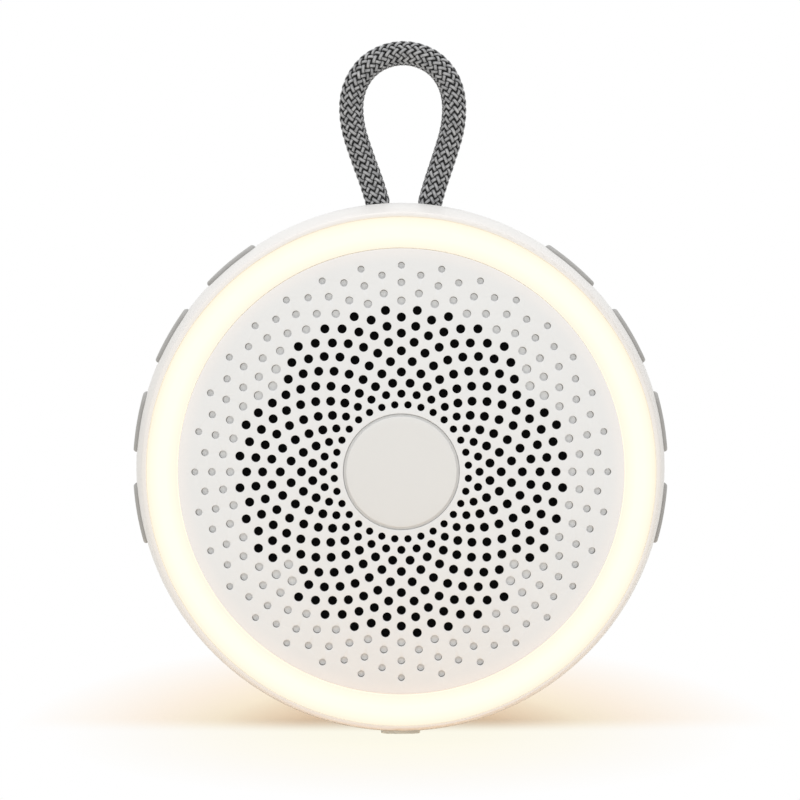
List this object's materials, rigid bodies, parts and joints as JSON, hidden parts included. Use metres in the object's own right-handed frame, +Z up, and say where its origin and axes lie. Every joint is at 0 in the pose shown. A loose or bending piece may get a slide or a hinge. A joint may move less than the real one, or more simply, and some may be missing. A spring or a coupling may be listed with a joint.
{
  "type": "white noise sound machine",
  "caption": "Round portable white noise machine that stands on its rim, with a perforated front, a glowing ring, side keys, a centre button and a rope loop.",
  "frame": {"origin": "on the floor under the middle of the round body, where its rubber foot stands", "axes": "+Z up, the perforated front faces -Y, +X to the right as seen from the front"},
  "size_m": [0.096, 0.035, 0.1244],
  "materials": {
    "white_plastic": "fine-textured moulded plastic",
    "diffuser": "translucent, lit warm white from behind",
    "grey_plastic": "satin",
    "inner_plastic": "moulded",
    "clear_white": "gloss white reflector",
    "grey_silicone": "matt silicone",
    "foot_silicone": "matt silicone",
    "rope": "braided polyester",
    "cloth": "woven acoustic cloth",
    "board": "lacquered circuit board",
    "chip": "moulded",
    "lamp": "phosphor",
    "steel": "zinc plated",
    "iron": "plated",
    "ferrite": "sintered",
    "paper_cone": "pressed pulp",
    "black_rubber": "matt",
    "spider_cloth": "resin-stiffened cloth",
    "copper": "enamelled wire",
    "foam": "foam",
    "battery_wrap": "wrapped pouch",
    "wire": "insulated",
    "cream_plastic": "moulded"
  },
  "bodies": {
    "housing": {"front_housing": "white_plastic", "rear_cover": "white_plastic", "grille_plate": "white_plastic", "light_ring": "diffuser", "dust_mesh": "cloth", "rubber_foot": "foot_silicone", "case_screws": "steel", "inner_frame": "inner_plastic", "frame_screws": "steel", "reflector_ring": "clear_white", "led_board": "board", "leds": "lamp", "led_cable": "wire", "button_switch": "chip", "button_board": "board", "button_cable": "wire", "speaker_gasket": "foam", "speaker_frame": "iron", "speaker_surround": "black_rubber", "speaker_cone": "paper_cone", "dust_cap": "paper_cone", "voice_coil": "copper", "spider": "spider_cloth", "top_plate": "iron", "magnet": "ferrite", "yoke": "iron", "speaker_screws": "steel", "speaker_cable": "wire", "main_board": "board", "board_chips": "chip", "side_switches": "chip", "usb_socket": "steel", "battery_connector": "cream_plastic", "board_screws": "steel", "battery": "battery_wrap", "battery_pad": "foam", "battery_cable": "wire", "loop_clamp": "inner_plastic", "rope_ends": "rope", "clamp_screw": "steel"},
    "loop": {"rope_loop": "rope"},
    "button": {"centre_button": "grey_plastic", "button_plunger": "cream_plastic"},
    "key_right_1": {"side_key_right_1": "grey_silicone", "switch_plunger_right_1": "cream_plastic"},
    "key_right_2": {"side_key_right_2": "grey_silicone", "switch_plunger_right_2": "cream_plastic"},
    "key_right_3": {"side_key_right_3": "grey_silicone", "switch_plunger_right_3": "cream_plastic"},
    "key_right_4": {"side_key_right_4": "grey_silicone", "switch_plunger_right_4": "cream_plastic"},
    "key_left_1": {"side_key_left_1": "grey_silicone", "switch_plunger_left_1": "cream_plastic"},
    "key_left_2": {"side_key_left_2": "grey_silicone", "switch_plunger_left_2": "cream_plastic"},
    "key_left_3": {"side_key_left_3": "grey_silicone", "switch_plunger_left_3": "cream_plastic"},
    "key_left_4": {"side_key_left_4": "grey_silicone", "switch_plunger_left_4": "cream_plastic"}
  },
  "joints": [
    {"name": "loop_swing", "type": "hinge", "parent": "housing", "child": "loop", "pos_m": [0.0006, 0, 0.096], "axis": [1, 0, 0], "range_deg": [-40, 40], "stiffness_Nm_per_rad": 0.01},
    {"name": "button_press", "type": "slide", "parent": "housing", "child": "button", "axis": [0, 1, 0], "range_m": [0, 0.0006], "stiffness_N_per_m": 900},
    {"name": "key_press_right_1", "type": "slide", "parent": "housing", "child": "key_right_1", "axis": [-0.6428, 0, -0.766], "range_m": [0, 0.0005], "stiffness_N_per_m": 900},
    {"name": "key_press_right_2", "type": "slide", "parent": "housing", "child": "key_right_2", "axis": [-0.866, 0, -0.5], "range_m": [0, 0.0005], "stiffness_N_per_m": 900},
    {"name": "key_press_right_3", "type": "slide", "parent": "housing", "child": "key_right_3", "axis": [-0.9848, 0, -0.1736], "range_m": [0, 0.0005], "stiffness_N_per_m": 900},
    {"name": "key_press_right_4", "type": "slide", "parent": "housing", "child": "key_right_4", "axis": [-0.9848, 0, 0.1736], "range_m": [0, 0.0005], "stiffness_N_per_m": 900},
    {"name": "key_press_left_1", "type": "slide", "parent": "housing", "child": "key_left_1", "axis": [0.6428, 0, -0.766], "range_m": [0, 0.0005], "stiffness_N_per_m": 900},
    {"name": "key_press_left_2", "type": "slide", "parent": "housing", "child": "key_left_2", "axis": [0.866, 0, -0.5], "range_m": [0, 0.0005], "stiffness_N_per_m": 900},
    {"name": "key_press_left_3", "type": "slide", "parent": "housing", "child": "key_left_3", "axis": [0.9848, 0, -0.1736], "range_m": [0, 0.0005], "stiffness_N_per_m": 900},
    {"name": "key_press_left_4", "type": "slide", "parent": "housing", "child": "key_left_4", "axis": [0.9848, 0, 0.1736], "range_m": [0, 0.0005], "stiffness_N_per_m": 900}
  ]
}
